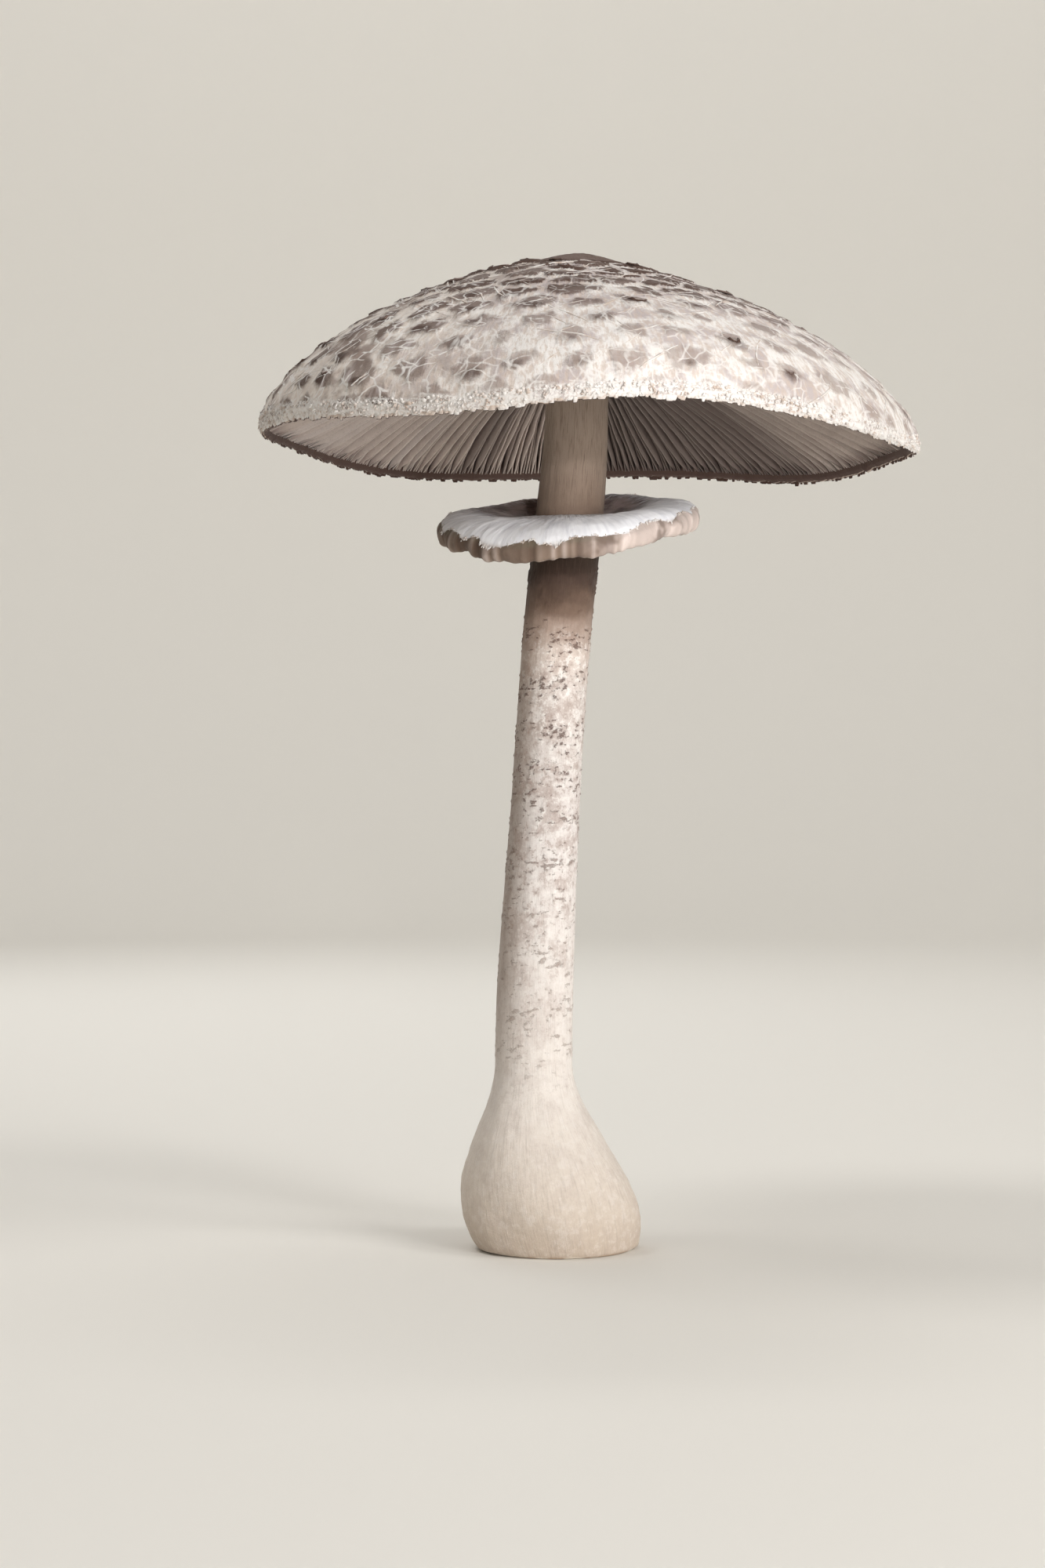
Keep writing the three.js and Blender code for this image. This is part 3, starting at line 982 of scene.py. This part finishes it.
def stemCentre(z):
    line = stemForm["line"]
    last = len(line) - 1
    i = max(k for k in range(last) if line[k][2] <= max(z, 0))
    height = line[i + 1][2] - line[i][2]
    t = (z - line[i][2]) / height

    def slope(k, axis):
        before, after = line[max(k - 1, 0)], line[min(k + 1, last)]
        return (after[axis] - before[axis]) / (after[2] - before[2]) * height

    def along(axis):
        a, b = line[i][axis], line[i + 1][axis]
        da, db = slope(i, axis), slope(i + 1, axis)
        return (
            a * (2 * t**3 - 3 * t**2 + 1)
            + da * (t**3 - 2 * t**2 + t)
            + b * (3 * t**2 - 2 * t**3)
            + db * (t**3 - t**2)
        )

    return along(0), along(1)


def stemRadius(z):
    if z <= stemForm["bulbZ"]:
        drop = 1 - z / stemForm["bulbZ"]
        return mix(stemForm["bulbRadius"], stemForm["footRadius"], drop**2.2)
    shaft = mix(stemForm["lowRadius"], stemForm["middleRadius"], smooth(60, 150, z))
    taper = mix(shaft, stemForm["topRadius"], smooth(215, 262, z))
    return mix(stemForm["bulbRadius"], taper, smooth(stemForm["bulbZ"], stemForm["neckZ"], z))


def readStem(z, angle):
    # how strongly a place is part of a raised fleck: flecks are short, flat and gathered in loose clusters
    cluster = turnNoise(angle, 1.2, z / 8) + 0.4 * sin(0.45 * z + 3 * turnNoise(angle, 0.8, z / 30))
    fleck = turnNoise(angle, 4.2, z / 0.9) + 0.6 * turnNoise(angle, 9, z / 0.65)
    return fleck + 0.4 * cluster - 0.36


def makeStem(material):
    heights = [mix(0.9, stemForm["topZ"] - 1, k / 900) for k in range(901)]
    wall = [(stemRadius(z), z) for z in heights]
    wall = resample(wall, stemForm["rows"])[0]
    foot = [(0, 0.4), (9, 0.3), (18, 0.1), (22.6, 0), (23.6, 0.25)]
    top = [(stemForm["topRadius"] - 1, stemForm["topZ"]), (0, stemForm["topZ"])]
    bm, markLayer = spinOutline(foot + wall + top, stemForm["sectors"])
    alongLayer, fleckLayer, cutLayer, leftShadeLayer = newLayers(bm, "along", "fleck", "cut", "leftShade")
    polar = bm.verts.layers.float_vector.new("polar")
    wallRows = range(len(foot), len(foot) + len(wall))
    for vert in bm.verts:
        row = round(vert[markLayer])
        z = vert.co.z
        angle = readTurn(vert.co)[1]
        place = vert.co.copy()
        fleck = 0.0
        if row in wallRows:
            fleck = readStem(z, angle)
            shown = smooth(34, 62, z) * (1 - smooth(206, 214, z)) * mix(0.35, 1, smooth(60, 170, z))
            lumps = 0.02 * cos(3 * angle + 1) + 0.016 * cos(5 * angle + 0.12 * z)
            grow = 1 + lumps * (1 - smooth(10, 60, z))
            rise = stemForm["fleckRise"] * smooth(0.05, 0.22, fleck) * shown
            rise += 0.12 * turnNoise(angle, 5, z / 14) + 0.05 * turnNoise(angle, 22, z / 9)
            rise += 0.35 * turnNoise(angle, 1.4, z / 9) * (1 - smooth(30, 60, z))
            rise += 0.16 * turnNoise(angle, 9, z / 2.4) * (1 - smooth(30, 70, z))
            place = Vector((vert.co.x * grow, vert.co.y * grow, z)) + vert.normal * rise
            place.z = max(place.z, 0)
        vert[alongLayer] = z / 300
        vert[fleckLayer] = fleck
        vert[cutLayer] = 1 if row < len(foot) else 0
        # painted shade: the stem's -X side is painted browner and darker, where less light falls
        vert[leftShadeLayer] = smooth(0.15, 0.9, -cos(angle)) * smooth(30, 90, z) * (1 - smooth(182, 194, z))
        vert[polar] = spun(1, angle, z / 100)
        x, y = stemCentre(place.z)
        vert.co = place + Vector((x, y, 0))
    finishPiece(bm, "stemShaft", material, "mushroom", "stem")


stemColors = {
    "fleck": srgb(96, 72, 64),
    "paleFleck": srgb(150, 130, 120),
    "streak": srgb(104, 85, 74),
    "cloud": srgb(172, 152, 144),
    "light": srgb(240, 235, 231),
    # the colour of the painted shade on the stem's -X side
    "leftShade": srgb(136, 114, 98),
    "cut": srgb(236, 226, 212),
    "cutEdge": srgb(190, 168, 146),
    # the shaft by height: pale low down, very dark just below the ring and mid brown above it, partly the
    # stem's own brown and partly a painted shade under the ring and the cap
    "shaft": [
        (0.0, srgb(194, 178, 162)),
        (0.06, srgb(212, 200, 188)),
        (0.16, srgb(230, 222, 215)),
        (0.42, srgb(228, 221, 218)),
        (0.56, srgb(213, 203, 197)),
        (0.595, srgb(210, 197, 188)),
        (0.618, srgb(162, 143, 131)),
        (0.64, srgb(112, 92, 79)),
        (0.656, srgb(84, 66, 55)),
        (0.67, srgb(62, 46, 38)),
        (0.69, srgb(52, 39, 31)),
        (0.72, srgb(88, 70, 58)),
        (0.745, srgb(124, 105, 91)),
        (0.8, srgb(160, 142, 127)),
        (0.9, srgb(172, 155, 140)),
    ],
}


def makeStemMaterial():
    w = newMaterial("stem flesh", 0.75, 0.05)
    along, fleck, cut, leftShade = (w.attribute(name) for name in ("along", "fleck", "cut", "leftShade"))
    polar = w.attribute("polar", "Vector")
    fine = w.threads(polar, *stemForm["threads"])[1]
    broken = w.noise(w.vector("MULTIPLY", polar, (16.0, 16.0, 210.0)), 1.0, 4.0, 0.7)
    clouds, _, height = w.felt(*stemForm["felt"])
    base = w.ramp(w.plus(along, w.around(clouds, 0.04)), stemColors["shaft"])
    # pinkish grey clouds with light specks, and long soft streaks
    below = w.times(w.step(along, 0.635, 0.575), w.rising(w.step(along, 0.1, 0.45), 0.75, 0.25))
    mottle = w.noise(w.objectPlace(), 380.0, 6.0, 0.78)
    base = w.over(base, stemColors["cloud"], w.step(clouds, 0.46, 0.62), w.times(below, 0.5))
    base = w.over(base, stemColors["cloud"], w.step(mottle, 0.47, 0.38), w.times(below, 0.6))
    base = w.over(base, stemColors["light"], w.step(mottle, 0.5, 0.6), w.times(below, 0.8))
    streaks = w.times(w.step(fine, 0.5, 0.68), w.rising(w.step(along, 0.66, 0.74), 0.6, 0.14))
    base = w.blend(streaks, base, stemColors["streak"])
    # painted shade laid on the stem's -X side
    base = w.over(base, stemColors["leftShade"], leftShade, 0.55)
    # broken flecks, dark near the ring and paler lower down
    ragged = w.plus(fleck, w.around(broken, 2.2))
    mask = w.step(ragged, 0.0, 0.3)
    shown = w.times(w.step(along, 0.13, 0.22), w.step(along, 0.66, 0.62))
    fleckColor = w.blend(w.step(along, 0.25, 0.55), stemColors["paleFleck"], stemColors["fleck"])
    fleckShare = w.rising(w.step(along, 0.2, 0.55), 0.3, 0.5)
    color = w.over(base, fleckColor, w.times(mask, shown), fleckShare)
    # the cut foot
    cutColor = w.blend(w.step(clouds, 0.4, 0.6), stemColors["cut"], stemColors["cutEdge"])
    color = w.blend(cut, color, cutColor)
    relief = w.plus(w.times(fine, 0.5), w.times(height, 0.6))
    relief = w.plus(relief, w.times(w.times(mask, shown), 0.5))
    return finishMaterial(w, color, relief, *stemForm["bump"])


makeStem(makeStemMaterial())


# Ring: a smooth white skirt over a ribbed brown lip, loose on the stem.

ringForm = {
    "boreRadius": 12.3,
    "radius": 39.5,
    "height": 221.8,
    "x": 3.5,
    "lobes": 15,
    "droopX": 2.9,
    "droopY": 10.1,
    "sag": [(0.75, 2, 0.64)],
    "wave": [(0.45, 3, 2.52), (0.4, 7, -1.14)],
    "dish": 2.2,  # how far the skirt's middle sinks
    "sectors": 420,
    "points": 120,
    "rounding": 3,  # how often the outline's corners are smoothed
    "threads": (16.0, 2.4),
    "felt": (200.0, 1900.0),
    "bump": (0.6, 0.0005),
    "outline": [
        (12.3, 0.6),
        (13.9, 1.5),
        (27, 1.7),
        (33.5, 1.2),
        (36.2, 0.4),
        (37.6, -0.5),
        (38.6, -1.5),
        (39.2, -2.6),
        (39.3, -3.8),
        (38.9, -5.1),
        (37.7, -6.1),
        (35.9, -6.3),
        (26, -3.4),
        (13.5, -4),
        (12.3, -3.2),
    ],
}


def ringOut(r):
    return (r - ringForm["boreRadius"]) / (ringForm["radius"] - ringForm["boreRadius"])


def ringLobe(angle):
    return abs(sin(0.5 * ringForm["lobes"] * angle + 0.8 * sin(2 * angle) - 0.48))


def ringBorder(angle):
    # the height of the white skirt's lower edge, which hangs in drips between the lip's lobes
    drips = 1.5 * smooth(0.25, 0.6, turnNoise(angle, 4.5, 3))
    edge = mix(-1.7, -0.3, ringLobe(angle) ** 0.6) + 0.9 * turnNoise(angle, 2.5)
    return edge + 0.5 * turnNoise(angle, 13) - drips


def bendRing(place):
    # the ring hangs lower to the front and to -X, its edge waves and its lip has lobes
    r, angle = readTurn(place)
    out = ringOut(r)
    droop = ringForm["droopX"] * cos(angle) + ringForm["droopY"] * sin(angle)
    droop += ripple(angle, ringForm["sag"])
    wave = ripple(angle, ringForm["wave"])
    under = smooth(-1.5, -5, place.z) * smooth(0.75, 0.95, out)
    lobe = ringLobe(angle)
    grow = 1 + 0.014 * out * cos(4 * angle + 0.3) - 0.03 * under * (1 - lobe)
    rise = ringForm["height"] + (droop + wave) * out - 0.9 * under * lobe
    rise -= ringForm["dish"] * smooth(0.75, 0, out)
    return Vector((place.x * grow + ringForm["x"], place.y * grow, place.z + rise))


def makeRing(material):
    outline = ringForm["outline"]
    fine = resample(outline + outline[:1], ringForm["points"])[0][:-1]
    for _ in range(ringForm["rounding"]):
        rows = zip(fine[-1:] + fine[:-1], fine, fine[1:] + fine[:1])
        fine = [tuple(0.25 * a + 0.5 * b + 0.25 * c for a, b, c in zip(*row)) for row in rows]
    bm = spinOutline(fine, ringForm["sectors"], closed=True)[0]
    lipLayer, outLayer, topLayer, paleLayer, ribLayer = newLayers(bm, "lip", "out", "top", "pale", "rib")
    polar = bm.verts.layers.float_vector.new("polar")
    for vert in bm.verts:
        r, angle = readTurn(vert.co)
        out, z = ringOut(r), vert.co.z
        border = ringBorder(angle)
        lip = smooth(border + 0.5, border - 0.5, z) * smooth(0.7, 0.82, out)
        top = smooth(-2.6, -0.6, z)
        ribs = 0.65 * turnNoise(angle, 8) + 0.5 * turnNoise(angle, 19)
        rays = 0.22 * turnNoise(angle, 13, out * 2.2) + 0.12 * turnNoise(angle, 34, out * 3)
        rise = mix(rays * smooth(0.1, 0.5, out), ribs, lip)
        rise += 0.14 * noise.noise(vert.co / 1.6) + 0.3 * noise.noise(vert.co / 7) * smooth(0, 0.3, out)
        vert[lipLayer] = lip
        # the back's offset paints the skirt's top darker there, partly a brown tint and partly a painted
        # shade under the cap
        vert[outLayer] = out - 0.64 * smooth(-0.4, 0.7, sin(angle - 0.2))  # the back is browner
        vert[paleLayer] = smooth(0.35, 0.9, cos(angle + 0.4))  # the lip is pale on the +X side
        vert[topLayer] = top
        vert[ribLayer] = ribs
        vert[polar] = spun(1, angle, out)
        vert.co = bendRing(vert.co + vert.normal * rise * smooth(0, 0.12, out))
    finishPiece(bm, "ringSkirt", material, "ring", "ring")


ringColors = {
    "white": srgb(250, 250, 253),
    "grey": srgb(206, 206, 214),
    "inner": srgb(134, 115, 110),
    "innerDark": srgb(84, 64, 58),
    "lip": srgb(128, 110, 97),
    "lipPale": srgb(204, 189, 182),
    "lipDark": srgb(92, 74, 62),
    "lipGreen": srgb(120, 113, 95),
    "under": srgb(196, 180, 168),
}


def makeRingMaterial():
    w = newMaterial("ring felt", 0.82, 0.1)
    lip, out, top, pale = (w.attribute(name) for name in ("lip", "out", "top", "pale"))
    coarse, fine = w.threads(w.attribute("polar", "Vector"), *ringForm["threads"])
    clouds, grains, height = w.felt(*ringForm["felt"])
    upper = w.over(ringColors["white"], ringColors["grey"], w.step(coarse, 0.35, 0.75), 0.6)
    # painted shade: the skirt's top is browner and darker near the stem and on the back, partly a brown tint
    # of the ring and partly a painted shade under the cap and behind the stem
    inner = w.blend(w.step(clouds, 0.35, 0.65), ringColors["inner"], ringColors["innerDark"])
    ragged = w.plus(out, w.around(fine, 0.8))
    upper = w.blend(w.step(ragged, 0.5, -0.1), upper, inner)
    under = w.blend(w.step(fine, 0.4, 0.65), ringColors["under"], ringColors["lip"])
    color = w.blend(top, under, upper)
    # painted shade: the lip is darker in the valleys between its ribs
    valley = w.plus(w.step(w.attribute("rib"), 0.1, -0.3), w.around(coarse, 0.8))
    valley = w.math("MINIMUM", w.math("MAXIMUM", valley, 0.0), 1.0)
    lipColor = w.blend(valley, ringColors["lip"], ringColors["lipDark"])
    # a green-grey painted shade on the lip just under the white skirt's edge
    lipColor = w.over(lipColor, ringColors["lipGreen"], w.step(top, 0.05, 0.8), 0.4)
    # painted highlight: the lip is paler on the ribs' ridges; it is also pale on the +X side
    ridge = w.times(w.step(w.attribute("rib"), 0.0, 0.35), 0.5)
    paleShare = w.plus(ridge, w.times(pale, 0.75))
    lipColor = w.blend(w.math("MINIMUM", paleShare, 1.0), lipColor, ringColors["lipPale"])
    stain = w.times(w.step(w.noise(w.objectPlace(), 90.0, 3.0), 0.52, 0.66), 0.65)
    lipColor = w.blend(stain, lipColor, ringColors["lipDark"])
    edge = w.plus(lip, w.around(grains, 0.6))
    color = w.blend(w.step(edge, 0.3, 0.6), color, lipColor)
    relief = w.plus(w.times(fine, 0.6), w.times(height, 0.6))
    return finishMaterial(w, color, relief, *ringForm["bump"])


makeRing(makeRingMaterial())


# Wool along the skirt's edge.

ringWool = {
    "seed": 41,
    "tufts": 620,
    "length": (0.4, 1.1),
    "thickness": (0.15, 0.35),
    "stray": 0.4,
    "outwards": (0.2, 0.7),
    "down": (0.3, 1),
    "bandRadius": (37.2, 39.2),  # where the skirt's edge is high, where it is low
}


def makeRingWool(material):
    draw = random.Random(ringWool["seed"])
    bm = bmesh.new()

    def rootAt(angle, out):
        height = ringBorder(angle) + draw.uniform(0, 0.5)
        radius = mix(*ringWool["bandRadius"], smooth(0, -2.6, height))
        return bendRing(out * radius + Vector((0, 0, height - 0.1)))

    addWool(bm, draw, ringWool, rootAt)
    finishPiece(bm, "ringWool", material, "ring")


makeRingWool(woolMaterial)


# Floor, light and camera, in metres.

studio = {
    "sectors": 96,
    "floorRadius": 1.7,
    "wallRadius": 2.5,
    "wallHeight": 3.4,
    "curve": 0.8,
    "curveSteps": 12,
    "paper": srgb(236, 233, 227),
    "sky": srgb(236, 239, 245),
    "skyStrength": 0.22,
    "lamps": {
        "key": {"place": (0.95, -0.5, 1.15), "size": 0.4, "power": 4, "color": (1.0, 0.985, 0.96)},
        "front": {"place": (0.85, -1.1, 0.46), "size": 0.45, "power": 7.6, "color": (1.0, 0.99, 0.975)},
        "low": {"place": (0.6, -1.1, 0.1), "size": 0.4, "power": 6.5, "color": (1.0, 0.99, 0.975)},
        "top": {"place": (-0.6, -0.15, 1.45), "size": 0.5, "power": 4.5, "color": (1.0, 0.985, 0.96)},
        "back": {"place": (-0.4, 1.1, 0.9), "size": 0.8, "power": 2.5, "color": (0.96, 0.98, 1.0)},
        "wall": {
            "place": (0.0, 0.8, 2.2),
            "aim": (0.0, 2.5, 0.8),
            "size": 1.2,
            "power": 16,
            "color": (1.0, 0.99, 0.97),
        },
    },
    "aim": (0.0, 0.0, 0.22),
    "spot": {
        "place": (0.16, -0.9, 0.3),
        "aim": (0.021, -0.03, 0.209),
        "power": 17.5,
        "cone": 6.8,
        "softness": 0.03,
    },
    "lens": 64.42,
    "sensorWidth": 36,
    "cameraPlace": (-0.0103, -0.85, 0.1401),
}


def makeStage():
    outline = [(0, 0), (studio["floorRadius"], 0)]
    reach = studio["wallRadius"] - studio["floorRadius"]
    for k in range(1, studio["curveSteps"] + 1):
        t = pi / 2 * k / studio["curveSteps"]
        r = studio["floorRadius"] + reach * sin(t)
        outline.append((r, studio["curve"] * (1 - cos(t))))
    outline.append((studio["wallRadius"], studio["wallHeight"]))
    bm = spinOutline(outline, studio["sectors"])[0]
    middle = Vector((0, 0, 1))
    outwards = [f for f in bm.faces if f.normal.dot(middle - f.calc_center_median()) < 0]
    bmesh.ops.reverse_faces(bm, faces=outwards)
    w = newMaterial("studio paper", 0.9)
    w.feed(w.shader.inputs["Base Color"], studio["paper"])
    bowl = addMesh(bm, "studioBowl", w.material)


def addLamp(name, facts):
    # a soft round lamp, or a narrow spot where a cone is given in degrees
    if "cone" in facts:
        light = bpy.data.lights.new(name, "SPOT")
        light.spot_size = radians(facts["cone"])
        light.spot_blend = 1
        light.shadow_soft_size = facts["softness"]
    else:
        light = bpy.data.lights.new(name, "AREA")
        light.shape = "DISK"
        light.size = facts["size"]
        light.color = facts["color"]
    light.energy = facts["power"]
    lamp = addObject(name, light)
    lamp.location = facts["place"]
    aim = Vector(facts.get("aim", studio["aim"]))
    lamp.rotation_euler = (aim - lamp.location).to_track_quat("-Z", "Y").to_euler()


def setWorld():
    world = bpy.data.worlds.new("soft light")
    world.use_nodes = True
    background = world.node_tree.nodes["Background"]
    background.inputs["Color"].default_value = studio["sky"]
    background.inputs["Strength"].default_value = studio["skyStrength"]
    bpy.context.scene.world = world
    bpy.context.scene.view_settings.view_transform = "Standard"


def setCamera():
    data = bpy.data.cameras.new("camera")
    data.lens = studio["lens"]
    data.sensor_width = studio["sensorWidth"]
    camera = addObject("camera", data)
    camera.location = studio["cameraPlace"]
    camera.rotation_euler = (pi / 2, 0, 0)
    bpy.context.scene.camera = camera


makeStage()
for lampName, lampFacts in studio["lamps"].items():
    addLamp(lampName, lampFacts)
addLamp("spot", studio["spot"])
setWorld()
setCamera()
print("studio ready")
